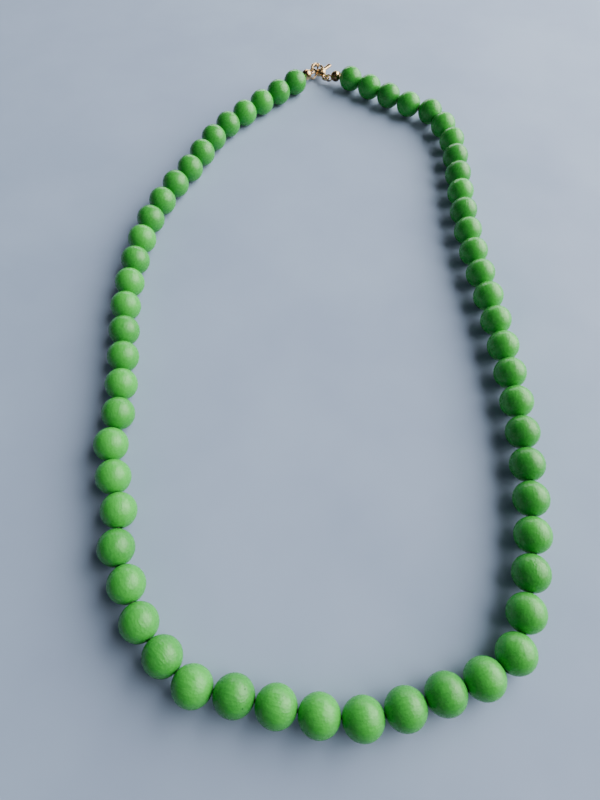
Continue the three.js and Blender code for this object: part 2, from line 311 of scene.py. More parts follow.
class Shader:
    """A material's node tree, with short calls for its nodes."""

    def __init__(self, name: str) -> None:
        """Starts a material that holds only its principled shader and output.

        Args:
            name: The material's name.
        """
        self.material = bpy.data.materials.new(name)
        self.material.use_nodes = True
        self.tree = self.material.node_tree
        self.surface = self.tree.nodes["Principled BSDF"]

    def node(self, kind: str, **settings: object) -> bpy.types.Node:
        """Adds a node.

        Args:
            kind: The node's type name after ShaderNode.
            settings: Properties of the node.

        Returns:
            The new node.
        """
        made = self.tree.nodes.new("ShaderNode" + kind)
        for key, value in settings.items():
            setattr(made, key, value)
        return made

    def link(self, source: Socket, target: Socket) -> None:
        """Links an output to an input."""
        self.tree.links.new(source, target)

    def attribute(self, name: str) -> bpy.types.Node:
        """A node that reads a named attribute of the mesh."""
        return self.node("Attribute", attribute_name=name)

    def stretched(self, source: Socket, scale: tuple[float, float, float]) -> Socket:
        """Scales a place by its own factor along each axis.

        Args:
            source: A vector output.
            scale: The three factors.

        Returns:
            The scaled vector's output.
        """
        mapping = self.node("Mapping")
        mapping.inputs["Scale"].default_value = scale
        self.link(source, mapping.inputs["Vector"])
        return mapping.outputs["Vector"]

    def noise(self, source: Socket, scale: float, detail: float) -> Socket:
        """Soft noise from 0 to 1.

        Args:
            source: The place.
            scale: Cells for each unit of the place.
            detail: How many finer layers it has.

        Returns:
            The noise value's output.
        """
        made = self.node("TexNoise")
        made.inputs["Scale"].default_value = scale
        made.inputs["Detail"].default_value = detail
        self.link(source, made.inputs["Vector"])
        return made.outputs["Fac"]

    def ranged(self, source: Socket, inside: Range, outside: Range = (0.0, 1.0)) -> Socket:
        """Maps one range of a value onto another, held at its ends.

        Args:
            source: A value output.
            inside: The range that is read.
            outside: What the two ends of that range become, which is 0 and 1 unless given.

        Returns:
            The mapped value's output.
        """
        made = self.node("MapRange")
        made.inputs["From Min"].default_value, made.inputs["From Max"].default_value = inside
        made.inputs["To Min"].default_value, made.inputs["To Max"].default_value = outside
        self.link(source, made.inputs["Value"])
        return made.outputs["Result"]

    def mixed(self, share: Socket, first: Socket | Colour, second: Socket | Colour) -> Socket:
        """Mixes two colours.

        Args:
            share: How much of the second colour shows.
            first: A colour's output, or four numbers.
            second: A colour's output, or four numbers.

        Returns:
            The mixed colour's output.
        """
        made = self.node("Mix", data_type="RGBA")
        self.link(share, made.inputs["Factor"])
        for socket, colour in ((made.inputs[6], first), (made.inputs[7], second)):
            if isinstance(colour, Socket):
                self.link(colour, socket)
            else:
                socket.default_value = colour
        return made.outputs[2]

    def combined(self, operation: str, first: Socket, second: Socket) -> Socket:
        """Works out one value from two.

        Args:
            operation: The math node's operation.
            first: A value's output.
            second: A value's output.

        Returns:
            The result's output.
        """
        made = self.node("Math", operation=operation)
        self.link(first, made.inputs[0])
        self.link(second, made.inputs[1])
        return made.outputs[0]

    def relief(self, height: Socket, depth: float, share: float) -> None:
        """Gives the surface a bump.

        Args:
            height: The height's output.
            depth: Metres that a height of 1 stands for.
            share: The bump's strength.
        """
        bump = self.node("Bump")
        bump.inputs["Distance"].default_value = depth
        bump.inputs["Strength"].default_value = share
        self.link(height, bump.inputs["Height"])
        self.link(bump.outputs["Normal"], self.surface.inputs["Normal"])

    def fixed(self, **values: float) -> None:
        """Sets numbers of the principled shader, with underscores for the spaces of their names."""
        for key, value in values.items():
            self.surface.inputs[key.replace("_", " ")].default_value = value


@dataclass(frozen=True)
class PaintedWood:
    """Satin paint on turned wood: grain under the paint, small pits, and a tone of its own for each bead,
    with painted shade in the pits and round the hole rims where the beads meet.
    """

    light: Colour = (0.052, 0.390, 0.050, 1.0)
    deep: Colour = (0.026, 0.215, 0.030, 1.0)
    # pit: painted shade, the near-black inside the pores
    pore_shade: Colour = (0.006, 0.045, 0.012, 1.0)
    # rim: painted shade, the dark green round the drilled holes where neighbouring beads meet
    rim: Colour = (0.015, 0.11, 0.018, 1.0)
    grain_along_axis: float = 0.16
    fibres_per_mm: float = 2.6
    lumps_per_mm: float = 2.4
    clouds_per_mm: float = 1.1
    pores_per_mm: float = 0.38
    pore_edge: Range = (0.040, 0.080)
    pores_from_tone: Range = (0.45, 0.70)
    pores_strength: float = 0.8
    streaks_from: Range = (0.35, 0.68)
    streaks_depth: float = 0.45
    tone_depth: float = 0.55
    rim_shade_depth: float = 0.9
    roughness: Range = (0.19, 0.33)
    relief_depth: float = 0.11 * MM
    relief_share: float = 0.60
    gloss: float = 0.30

    def material(self) -> bpy.types.Material:
        """Builds the material.

        Returns:
            The finished material.
        """
        paint = Shader("bead_paint")
        place = paint.attribute("bead_place").outputs["Vector"]
        tone = paint.attribute("bead_tone").outputs["Fac"]
        along = paint.stretched(place, (1.0, self.grain_along_axis, 1.0))
        fibres = paint.noise(along, self.fibres_per_mm, 4.0)
        cloud = paint.noise(place, self.clouds_per_mm, 3.0)
        lumps = paint.noise(place, self.lumps_per_mm, 4.0)
        streaks = paint.ranged(fibres, self.streaks_from, (0.0, self.streaks_depth))
        depth = paint.combined("ADD", streaks, paint.ranged(tone, (0.0, 1.0), (0.0, self.tone_depth)))
        colour = paint.mixed(depth, self.light, self.deep)
        pores_seen = self._pores(paint, place, tone)
        # Painted shade inside the pores darkens the paint there.
        colour = paint.mixed(pores_seen, colour, self.pore_shade)
        # Painted shade round each hole's rim, where the beads meet, darkens the paint there.
        rim = paint.attribute("bead_rim_shade").outputs["Fac"]
        colour = paint.mixed(paint.ranged(rim, (0.0, 1.0), (0.0, self.rim_shade_depth)), colour, self.rim)
        paint.link(colour, paint.surface.inputs["Base Color"])
        paint.link(paint.ranged(cloud, CLOUDED, self.roughness), paint.surface.inputs["Roughness"])
        ridges = paint.combined("SUBTRACT", paint.combined("ADD", fibres, lumps), pores_seen)
        paint.relief(ridges, self.relief_depth, self.relief_share)
        paint.fixed(IOR=1.5, Specular_IOR_Level=self.gloss)
        return paint.material

    def _pores(self, paint: Shader, place: Socket, tone: Socket) -> Socket:
        """Small pores, which only some of the beads have, darkened inside with painted shade.

        Args:
            paint: The paint's shader.
            place: The place on the bead.
            tone: The bead's own tone.

        Returns:
            How much of a pore shows.
        """
        cells = paint.node("TexVoronoi")
        cells.inputs["Scale"].default_value = self.pores_per_mm
        paint.link(place, cells.inputs["Vector"])
        pores = paint.ranged(cells.outputs["Distance"], self.pore_edge, (1.0, 0.0))
        on_this_bead = paint.ranged(tone, self.pores_from_tone, (0.0, self.pores_strength))
        return paint.combined("MULTIPLY", pores, on_this_bead)


@dataclass(frozen=True)
class WaxedThread:
    """Dark waxed stringing thread."""

    dark: Colour = (0.010, 0.030, 0.012, 1.0)
    pale: Colour = (0.035, 0.075, 0.035, 1.0)
    fibres_per_metre: float = 9000.0
    roughness: Range = (0.5, 0.75)
    relief_depth: float = 0.04 * MM
    relief_share: float = 0.5

    def material(self) -> bpy.types.Material:
        """Builds the material.

        Returns:
            The finished material.
        """
        thread = Shader("waxed_thread")
        place = thread.node("TexCoord").outputs["Object"]
        fibres = thread.noise(place, self.fibres_per_metre, 3.0)
        colour = thread.mixed(thread.ranged(fibres, MOTTLED), self.dark, self.pale)
        thread.link(colour, thread.surface.inputs["Base Color"])
        thread.link(thread.ranged(fibres, CLOUDED, self.roughness), thread.surface.inputs["Roughness"])
        thread.relief(fibres, self.relief_depth, self.relief_share)
        return thread.material


@dataclass(frozen=True)
class GoldPlate:
    """Polished gold plate over brass, with faint scuffs and warm tarnish in places."""

    bright: Colour = (0.80, 0.58, 0.29, 1.0)
    tarnish: Colour = (0.16, 0.085, 0.045, 1.0)
    patches_per_metre: float = 420.0
    tarnish_from: Range = (0.38, 0.66)
    scuffs_per_metre: float = 2600.0
    scuff_squeeze: float = 4.0
    roughness: Range = (0.14, 0.30)
    relief_depth: float = 0.03 * MM
    relief_share: float = 0.18

    def material(self) -> bpy.types.Material:
        """Builds the material.

        Returns:
            The finished material.
        """
        gold = Shader("gold_plate")
        place = gold.node("TexCoord").outputs["Object"]
        patches = gold.noise(place, self.patches_per_metre, 3.0)
        squeezed = gold.stretched(place, (1.0, self.scuff_squeeze, 1.0))
        scuffs = gold.noise(squeezed, self.scuffs_per_metre, 4.0)
        colour = gold.mixed(gold.ranged(patches, self.tarnish_from), self.bright, self.tarnish)
        gold.link(colour, gold.surface.inputs["Base Color"])
        gold.link(gold.ranged(scuffs, CLOUDED, self.roughness), gold.surface.inputs["Roughness"])
        gold.relief(scuffs, self.relief_depth, self.relief_share)
        gold.fixed(Metallic=1.0)
        return gold.material


@dataclass(frozen=True)
class PaleFloor:
    """A plain pale floor with hardly any mottling."""

    light: Colour = (0.262, 0.340, 0.495, 1.0)
    deep: Colour = (0.238, 0.310, 0.460, 1.0)
    clouds_per_metre: float = 30.0
    roughness: Range = (0.75, 0.85)

    def material(self) -> bpy.types.Material:
        """Builds the material.

        Returns:
            The finished material.
        """
        floor = Shader("pale_floor")
        place = floor.node("TexCoord").outputs["Object"]
        cloud = floor.noise(place, self.clouds_per_metre, 3.0)
        colour = floor.mixed(floor.ranged(cloud, MOTTLED), self.light, self.deep)
        floor.link(colour, floor.surface.inputs["Base Color"])
        floor.link(floor.ranged(cloud, CLOUDED, self.roughness), floor.surface.inputs["Roughness"])
        return floor.material


# The bead string


@dataclass
class BeadRoute:
    """Where the beads lie: chosen points seen from above, from the left end round the front to the right."""

    bead_count: int = 60
    pitch: float = 8.15 * MM
    centre_height: float = 4.0 * MM
    divisions: int = 2000
    chosen: tuple[tuple[float, float], ...] = (
        (-4.6, 92.9), (-16.0, 81.4), (-26.9, 69.5), (-31.2, 62.6), (-34.4, 55.1), (-37.6, 47.6),
        (-41.4, 40.4), (-47.2, 25.2), (-49.5, 9.1), (-49.8, -7.1), (-48.0, -23.3), (-46.6, -39.7),
        (-47.0, -47.8), (-45.2, -55.9), (-42.7, -63.6), (-42.0, -71.7), (-38.7, -79.2), (-35.1, -86.5),
        (-29.8, -92.6), (-23.6, -97.8), (-15.6, -99.5), (8.3, -103.3), (24.1, -99.4), (31.9, -96.9),
        (38.9, -92.7), (42.5, -85.4), (47.1, -69.7), (49.2, -53.5), (49.9, -37.2), (49.1, -12.5),
        (46.9, 11.9), (46.4, 28.0), (47.3, 52.3), (47.3, 60.5), (45.5, 68.5), (42.0, 75.9),
        (35.0, 80.1), (15.4, 95.1),
    )

    def _at(self, points: np.ndarray, t: float) -> np.ndarray:
        """A point of the centripetal spline through the chosen points.

        Args:
            points: The chosen points, with one more beyond each end.
            t: How far along, from 0 to 1, with an equal share for each stretch.

        Returns:
            The point.
        """
        spans = len(points) - 3
        span = min(int(t * spans), spans - 1)
        w = t * spans - span
        p0, p1, p2, p3 = points[span:span + 4]
        d0, d1, d2 = (np.sum((b - a) ** 2) ** 0.25 for a, b in ((p0, p1), (p1, p2), (p2, p3)))
        start = ((p1 - p0) / d0 - (p2 - p0) / (d0 + d1) + (p2 - p1) / d1) * d1
        end = ((p2 - p1) / d1 - (p3 - p1) / (d1 + d2) + (p3 - p2) / d2) * d1
        return (
            p1 + start * w
            + (-3 * p1 + 3 * p2 - 2 * start - end) * w ** 2
            + (2 * p1 - 2 * p2 + start + end) * w ** 3
        )

    def centres(self) -> np.ndarray:
        """The bead centres, evenly spaced along the route.

        The route is sized so that the beads fill it, and both halves lean a little, so that the clasp's
        ends stay as far apart as the chosen points have them.

        Returns:
            An array of bead centres in metres.
        """
        chosen = np.array(self.chosen) * MM
        points = np.vstack([2 * chosen[0] - chosen[1], chosen, 2 * chosen[-1] - chosen[-2]])
        steps = np.linspace(0, 1, self.divisions + 1)
        dense = np.array([self._at(points, t) for t in steps])
        run = run_along(dense)
        places = np.interp(np.linspace(0, run[-1], self.bead_count), run, steps)
        flat = np.array([self._at(points, t) for t in places])
        fit = (self.bead_count - 1) * self.pitch / run[-1]
        lean = (chosen[-1] - chosen[0]) * (fit - 1) / 2
        flat = flat * fit + np.outer(np.linspace(1, -1, self.bead_count), lean)
        return np.column_stack([flat, np.full(self.bead_count, self.centre_height)])

    def axes(self, centres: np.ndarray) -> np.ndarray:
        """The direction of each bead's drilled hole: the chord between its neighbours.

        Args:
            centres: The bead centres.

        Returns:
            A unit vector for each bead.
        """
        before = np.vstack([centres[:1], centres[:-1]])
        after = np.vstack([centres[1:], centres[-1:]])
        chords = after - before
        return chords / np.linalg.norm(chords, axis=1)[:, None]


@dataclass
class BeadString:
    """Turned, drilled and painted wooden beads, each a little different from the next."""

    bead_diameter: float = 8.0 * MM
    bead_length: float = 8.13 * MM
    hole_diameter: float = 1.3 * MM
    rim_fillet: float = 0.14 * MM
    rim_shade_width: float = 0.25 * MM
    sides: int = 48
    bands: int = 30
    fillet_steps: int = 4
    most_shrink: float = 0.008
    out_of_round: float = 0.004
    tool_marks: float = 0.0016
    tool_marks_turn: float = 5.0
    paint_scatter: float = 40.0
    seed: int = 7

    def profile(self) -> np.ndarray:
        """The bead's section: over the round outside, over the rim and back through the drilled hole.

        Returns:
            An array of points: the distance from the hole's axis, and the place along it.
        """
        radius = self.bead_diameter / 2
        hole = self.hole_diameter / 2
        edge = math.acos((hole + self.rim_fillet) / radius)
        angles = np.linspace(-edge, edge, self.bands + 1)
        outside = np.column_stack([radius * np.cos(angles), radius * np.sin(angles)])
        corner, start = outside[-1], 1 / self.fillet_steps
        t = np.linspace(start, 1, self.fillet_steps)[:, None]
        knee = np.array([hole, corner[1] + self.rim_fillet / 10])
        inner = np.array([hole, corner[1] - self.rim_fillet])
        rim = (1 - t) ** 2 * corner + 2 * t * (1 - t) * knee + t ** 2 * inner
        far_rim = rim[::-1] * np.array([1, -1])
        stretch = np.array([1.0, self.bead_length / self.bead_diameter])
        return np.vstack([outside, rim, far_rim]) * stretch

    def bead(
        self, centre: np.ndarray, axis: np.ndarray, draw: np.random.RandomState,
    ) -> tuple[Skin, np.ndarray, np.ndarray]:
        """One bead, as it came off the lathe.

        Args:
            centre: Its centre as planned.
            axis: The direction of its hole.
            draw: The source of its small differences.

        Returns:
            Its points and faces, its points in its own axes in millimetres, and how near each is to the rim,
            which sets the painted shade there.
        """
        size = 1 - self.most_shrink * draw.rand()
        phase, lobes, roll = 2 * np.pi * draw.rand(3)
        section = self.profile() * size
        angles = turns(self.sides)
        rings = []
        for radius, y in section:
            lean = 1 - self.out_of_round * (0.5 + 0.5 * np.cos(2 * (angles - phase)))
            ripple = 1 - self.tool_marks * (0.5 + 0.5 * np.sin(self.tool_marks_turn * y / MM + lobes))
            r = radius * lean * ripple
            rings.append(np.column_stack([r * np.sin(angles), np.full(self.sides, y), r * np.cos(angles)]))
        local, faces = skin(rings, Mode.LOOPED)
        at = centre.copy()
        at[2] = self.bead_diameter / 2 * size
        points = local @ basis_along(axis) + at
        turned = np.column_stack([
            local[:, 0] * np.cos(roll) - local[:, 2] * np.sin(roll),
            local[:, 1],
            local[:, 0] * np.sin(roll) + local[:, 2] * np.cos(roll),
        ])
        # How near each point is to the hole's rim: the share of painted shade that it gets there.
        off_axis = np.hypot(local[:, 0], local[:, 2])
        rim_shade_share = 1 - (off_axis - self.hole_diameter / 2 * size) / self.rim_shade_width
        place = turned / MM + self.paint_scatter * draw.rand(3)
        return (points, faces), place, np.clip(rim_shade_share, 0, 1)

    def build(self, end: End, centres: np.ndarray, axes: np.ndarray) -> bpy.types.Object:
        """Builds the half of the string that leads to one end of the necklace.

        Args:
            end: Which half.
            centres: All bead centres.
            axes: All hole directions.

        Returns:
            The half string, with its attributes for the paint, the painted shade round the hole rims among
            them.
        """
        middle = len(centres) // 2
        numbers = range(middle) if end is End.LEFT else range(middle, len(centres))
        skins, places, tones, rim_shades = [], [], [], []
        for i in numbers:
            draw = np.random.RandomState(self.seed * 1000 + i)
            # rim: each point's share of the painted shade round the hole rims.
            bead, place, rim = self.bead(centres[i], axes[i], draw)
            skins.append(bead)
            places.append(place)
            rim_shades.append(rim)
            tones.append(np.full(len(place), draw.rand()))
        beads = mesh_object(f"wooden_beads_{end.value}", *joined(skins))
        attributes = beads.data.attributes
        own_place = attributes.new("bead_place", "FLOAT_VECTOR", "POINT")
        own_place.data.foreach_set("vector", np.vstack(places).ravel())
        for name, values in (("bead_tone", tones), ("bead_rim_shade", rim_shades)):
            attributes.new(name, "FLOAT", "POINT").data.foreach_set("value", np.concatenate(values))
        return beads

    def dress(self, beads: bpy.types.Object, end: End, paint: bpy.types.Material) -> None:
        """Paints a half string and lets it stand for its solid.

        Args:
            beads: The half string.
            end: Which half it is.
            paint: The paint's material.
        """
        beads.data.materials.append(paint)
        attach(beads, "necklace")
        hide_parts(f"bead_string_{end.value}")


@dataclass
class Thread:
    """The three-ply thread that the beads are strung on."""

    strand_radius: float = 0.24 * MM
    lay_radius: float = 0.23 * MM
    twist: float = 2.4 * MM
    strands: int = 3
    sides: int = 5
    step: float = 0.3 * MM
    end_run: float = 5.4 * MM

    def path(self, centres: np.ndarray, axes: np.ndarray) -> np.ndarray:
        """The thread's line through the holes, with its two ends inside the bead tips.

        Args:
            centres: The bead centres.
            axes: The hole directions.

        Returns:
            Points along the thread, a step apart.
        """
        first = centres[0] - axes[0] * self.end_run
        last = centres[-1] + axes[-1] * self.end_run
        line = np.vstack([first, centres, last])
        run = run_along(line)
        even = np.linspace(0, run[-1], int(run[-1] / self.step))
        return np.column_stack([np.interp(even, run, line[:, i]) for i in range(3)])

    def build(self, centres: np.ndarray, axes: np.ndarray) -> bpy.types.Object:
        """Lays the strands round the thread's line.

        Args:
            centres: The bead centres.
            axes: The hole directions.

        Returns:
            The thread.
        """
        middle = self.path(centres, axes)
        tangents = np.gradient(middle, axis=0)
        across = np.cross(tangents / np.linalg.norm(tangents, axis=1)[:, None], UP)
        section = round_wire(2 * self.strand_radius, self.sides)
        skins = []
        for strand in range(self.strands):
            turn = 2 * np.pi * (np.arange(len(middle)) * self.step / self.twist + strand / self.strands)
            line = middle + self.lay_radius * (across * np.cos(turn)[:, None] + UP * np.sin(turn)[:, None])
            skins.append(swept(line, [section] * len(line), UP, Mode.CAPPED))
        return mesh_object("stringing_thread", *joined(skins))

    def dress(self, thread: bpy.types.Object, finish: bpy.types.Material) -> None:
        """Gives the thread its finish and its body.

        Args:
            thread: The thread.
            finish: The thread's material.
        """
        thread.data.materials.append(finish)
        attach(thread, "necklace")


# The hardware


@dataclass
class BeadTip:
    """A clamshell tip: two cups closed on the knot, and the wire loop that they carry."""

    diameter: float = 3.5 * MM
    seat: float = 0.9 * MM
    mouth_diameter: float = 1.5 * MM
    lip: float = 0.16 * MM
    seam_width: float = 0.11 * MM
    seam_depth: float = 0.13 * MM
    loop_hole: float = 1.65 * MM
    loop_wire: float = 0.55 * MM
    loop_sink: float = 0.05 * MM
    bead_radius: float = 4.0 * MM
    bead_face_radius: float = 1.2 * MM
    loop_drop: float = 0.35 * MM
    crowding: float = 0.45
    smallest_ring: float = 0.004
    groove_fades_below: float = 0.3
    sides: int = 72
    bands: int = 34
    loop_steps: int = 64
    wire_sides: int = 16

    @property
    def loop_at(self) -> float:
        """How far the loop's centre is from the bead's drilled face."""
        return self.seat + self.diameter + self.loop_hole / 2 - self.loop_sink

    @property
    def bead_face(self) -> float:
        """How far a bead's drilled face is from its centre."""
        return math.sqrt(self.bead_radius ** 2 - self.bead_face_radius ** 2)

    def cups(self) -> Skin:
        """The closed cups in the tip's own axes, with the groove where their edges meet.

        The points of each ring crowd together near the groove.

        Returns:
            The points and the faces of the cups.
        """
        radius = self.diameter / 2
        start = math.asin(self.mouth_diameter / self.diameter)
        rise = radius * math.cos(start)
        sections = [(self.mouth_diameter / 2 - self.lip, self.seat + self.lip)]
        for angle in np.linspace(start, math.pi, self.bands):
            r = radius * max(math.sin(angle), self.smallest_ring)
            sections.append((r, self.seat + rise - radius * math.cos(angle)))
        even = turns(self.sides)
        angles = even - self.crowding * np.sin(2 * even)
        rings = []
        for r, y in sections:
            off_seam = np.abs(r * np.sin(angles))
            fade = min(1.0, r / (radius * self.groove_fades_below))
            groove = self.seam_depth * fade * np.exp(-((off_seam / self.seam_width) ** 2))
            inner = np.maximum(r - groove, r / 2)
            height = np.full(self.sides, y)
            rings.append(np.column_stack([inner * np.sin(angles), height, inner * np.cos(angles)]))
        return skin(rings, Mode.CAPPED)

    def loop(self, hole_along: np.ndarray) -> Skin:
        """The wire loop in the tip's own axes.

        Args:
            hole_along: The direction of its hole.

        Returns:
            The points and the faces of the loop.
        """
        radius = (self.loop_hole + self.loop_wire) / 2
        angles = turns(self.loop_steps)
        ahead = np.array([0.0, 1.0, 0.0])
        side = np.cross(ahead, hole_along)
        middle = ahead * self.loop_at
        path = middle + radius * (np.outer(np.cos(angles), ahead) + np.outer(np.sin(angles), side))
        section = round_wire(self.loop_wire, self.wire_sides)
        return swept(path, [section] * self.loop_steps, hole_along, Mode.LOOPED)

    def build(self, end: End, face: np.ndarray, towards: np.ndarray) -> bpy.types.Object:
        """Builds the tip in place.

        Args:
            end: Which end of the string it closes.
            face: The centre of the last bead's drilled face.
            towards: Where its loop reaches for.

        Returns:
            The tip.
        """
        hole = UP if end is End.LEFT else np.array([1.0, 0.0, 0.0])
        points, faces = joined([self.cups(), self.loop(hole)])
        placed = points @ basis_along(towards - face) + face
        return mesh_object(f"clamshell_tip_{end.value}", placed, faces)

    def dress(self, tip: bpy.types.Object, end: End, finish: bpy.types.Material) -> None:
        """Gives a tip its plating and lets it stand for its solid.

        Args:
            tip: The tip.
            end: Which end of the string it closes.
            finish: The plating's material.
        """
        tip.data.materials.append(finish)
        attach(tip, "necklace")
        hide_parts(f"bead_tip_{end.value}")


@dataclass
class JumpRing:
    """The round wire ring between the left tip's loop and the hook, with the cut where it was opened."""

    diameter: float = 5.5 * MM
    wire: float = 0.6 * MM
    cut: float = 0.07 * MM
    cut_at: float = math.radians(118)
    steps: int = 96
    sides: int = 16

    def plan_direction(self) -> np.ndarray:
        """Works out from the ring's box how the ring lies, seen from above.

        Returns:
            A level unit vector.
        """
        low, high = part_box("jump_ring")
        reach = np.array([high.x - low.x - self.wire, high.y - low.y - self.wire, 0.0])
        return reach / np.linalg.norm(reach)

    def centre(self) -> np.ndarray:
        """The ring's centre, from its box."""
        low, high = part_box("jump_ring")
        return np.array((low + high) / 2)

    def build(self) -> bpy.types.Object:
        """Builds the ring in place.

        Returns:
            The ring.
        """
        radius = (self.diameter - self.wire) / 2
        half_cut = self.cut / 2 / radius
        angles = np.linspace(self.cut_at + half_cut, self.cut_at + 2 * np.pi - half_cut, self.steps)
        flat = self.plan_direction()
        path = self.centre() + radius * (np.outer(np.cos(angles), flat) + np.outer(np.sin(angles), UP))
        sections = [round_wire(self.wire, self.sides)] * self.steps
        ring = swept(path, sections, np.cross(flat, UP), Mode.CAPPED)
        return mesh_object("wire_jump_ring", *ring)

    def dress(self, ring: bpy.types.Object, finish: bpy.types.Material) -> None:
        """Gives the ring its plating and lets it stand for its solid.

        Args:
            ring: The ring.
            finish: The plating's material.
        """
        ring.data.materials.append(finish)
        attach(ring, "necklace")
        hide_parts("jump_ring")


@dataclass
class LobsterClasp:
    """A cast lobster clasp: eye, housing and hook in one body, and the sprung lever on its pin.

    Its own axes have X from the eye to the hook's top, and Y towards the fixed arm.
    """

    heading: float = math.radians(117)
    pivot: tuple[float, float] = (4.0 * MM, -0.7 * MM)
    eye_hole: float = 1.6 * MM
    eye_wall: float = 0.6 * MM
    eye_thickness: float = 1.0 * MM
    housing_thickness: float = 2.2 * MM
    housing_width: float = 4.2 * MM
    housing_length: float = 4.6 * MM
    neck_width: float = 1.6 * MM
    hook_length: float = 5.8 * MM
    hook_width: float = 4.8 * MM
    hook_wall: float = 1.0 * MM
    hook_thickness: float = 1.6 * MM
    hook_overlap: float = 1.0 * MM
    nose_at: float = math.radians(-60)
    pin_diameter: float = 0.7 * MM
    pin_clearance: float = 0.12 * MM
    rivet_diameter: float = 1.1 * MM
    rivet_height: float = 0.15 * MM
    hub_diameter: float = 2.1 * MM
    slot_clearance: float = 0.2 * MM
    slot_past_housing: float = 1.45 * MM
    lever_thickness: float = 0.9 * MM
    gate_wall: float = 0.8 * MM
    gate_at: tuple[float, float] = (math.radians(-166), math.radians(-66))
    tab_length: float = 3.7 * MM
    tab_root_width: float = 1.2 * MM
    tab_end_width: float = 1.7 * MM
    tab_lean: float = 1.3 * MM
    tab_thins_to: float = 0.82
    tab_end_share: float = 0.4
    eye_squareness: float = 2.6
    housing_squareness: float = 2.9
    hook_squareness: float = 2.5
    gate_squareness: float = 2.8
    tab_squareness: float = 3.0
    foot_rounding: float = 0.12
    nose_rounding: float = 0.06
    gate_rounding: float = 0.05
    tab_rounding: float = 0.13
    hook_from: float = math.radians(172)
    hook_taper: float = 0.16
    neck_sink: float = 0.4
    shoulders_by: float = 1.12
    crown_by: float = 1.6
    foot_narrowing: float = 0.25
    foot_thinning: float = 0.3
    body_polish: int = 2
    pinned_polish: int = 5
    lever_polish: int = 3
    grain: float = 0.055 * MM
    sides: int = 24

    @property
    def hook_centre(self) -> float:
        """Where the middle of the hook's oval is along X."""
        return self.housing_length - self.hook_overlap + self.hook_length / 2

    def placed(self, target: bpy.types.Object) -> bpy.types.Object:
        """Puts a piece, made in the clasp's own axes, in its place in the frame.

        Args:
            target: The piece.

        Returns:
            The same piece.
        """
        joint = Vector(frame["joints"][0]["pos_m"])
        turn = Matrix.Rotation(self.heading, 4, "Z")
        own_pivot = Vector((*self.pivot, 0.0))
        target.data.transform(Matrix.Translation(joint) @ turn @ Matrix.Translation(-own_pivot))
        return target

    def eye_place(self) -> np.ndarray:
        """Where the eye's centre lies in the frame."""
        joint = Vector(frame["joints"][0]["pos_m"])
        return np.array(joint - Matrix.Rotation(self.heading, 3, "Z") @ Vector((*self.pivot, 0.0)))

    def oval_path(self, first: float, last: float, wall: float, count: int) -> np.ndarray:
        """Points on the middle line of the hook's oval.

        Args:
            first: The angle that it starts at.
            last: The angle that it ends at.
            wall: The width of the band outside the line and inside it.
            count: Number of points.

        Returns:
            The points.
        """
        angles = np.linspace(first, last, count)
        x = self.hook_centre + (self.hook_length - wall) / 2 * np.cos(angles)
        y = (self.hook_width - wall) / 2 * np.sin(angles)
        return np.column_stack([x, y, np.zeros(count)])

    def disc(self, diameter: float, thickness: float, centre: tuple[float, float, float]) -> Skin:
        """A round disc with its axis along Z.

        Args:
            diameter: Its diameter.
            thickness: Its thickness.
            centre: Its centre.

        Returns:
            The points and the faces of the disc.
        """
        ring = round_wire(diameter, 2 * self.sides)
        base = np.column_stack([ring, np.zeros(len(ring))]) + np.array(centre)
        return skin([base - UP * thickness / 2, base + UP * thickness / 2], Mode.CAPPED)

    def eye(self) -> Skin:
        """The eye's flat rounded ring.

        Returns:
            The points and the faces of the eye.
        """
        count = 72
        radius = (self.eye_hole + self.eye_wall) / 2
        angles = turns(count)
        path = radius * np.column_stack([np.cos(angles), np.sin(angles), np.zeros(count)])
        section = oval(self.eye_wall / 2, self.eye_thickness / 2, self.eye_squareness, self.sides)
        return swept(path, [section] * count, UP, Mode.LOOPED)

    def housing(self) -> Skin:
        """The drop-shaped housing, thin at the neck and crowned over the slot.

        Returns:
            The points and the faces of the housing.
        """
        count = 40
        first, last = self.eye_hole / 2 + self.eye_wall * self.neck_sink, self.housing_length
        t = np.linspace(0, 1, count)
        spread = t ** 2 * (3 - 2 * t)
        widening = np.clip(spread * self.shoulders_by, 0, 1)
        thickening = np.clip(spread * self.crown_by, 0, 1)
        widths = self.neck_width + (self.housing_width - self.neck_width) * widening
        heights = self.eye_thickness + (self.housing_thickness - self.eye_thickness) * thickening
        foot = 1 - domed_tip(count, self.foot_rounding)
        widths *= 1 - self.foot_narrowing * foot
        heights *= 1 - self.foot_thinning * foot
        path = np.column_stack([first + (last - first) * t, np.zeros(count), np.zeros(count)])
        sections = [
            oval(w / 2, h / 2, self.housing_squareness, 2 * self.sides) for w, h in zip(widths, heights)
        ]
        return swept(path, sections, UP, Mode.CAPPED)

    def hook(self) -> Skin:
        """The fixed arm: from the housing, round the top and down to the nose, tapering as it goes.

        Returns:
            The points and the faces of the arm.
        """
        count = 80
        path = self.oval_path(self.hook_from, self.nose_at, self.hook_wall, count)
        taper = 1 - self.hook_taper * np.linspace(0, 1, count) ** 2
        sizes = taper * domed_tip(count, self.nose_rounding) / 2
        sections = [
            oval(self.hook_wall * s, self.hook_thickness * s, self.hook_squareness, self.sides) for s in sizes
        ]
        return swept(path, sections, UP, Mode.CAPPED)

    def slot(self) -> bpy.types.Object:
        """The slot between the cheeks, open on the lever's side.

        Returns:
            The cutter.
        """
        x, y = self.pivot
        reach = self.hub_diameter / 2 + self.slot_clearance
        left, right = x - reach, self.housing_length + self.slot_past_housing
        bottom, top = -self.housing_width, y + reach
        corners = np.array([[left, bottom, 0], [right, bottom, 0], [right, top, 0], [left, top, 0]])
        half = UP * (self.lever_thickness / 2 + self.slot_clearance)
        return mesh_object("slot_cutter", *skin([corners - half, corners + half], Mode.CAPPED))

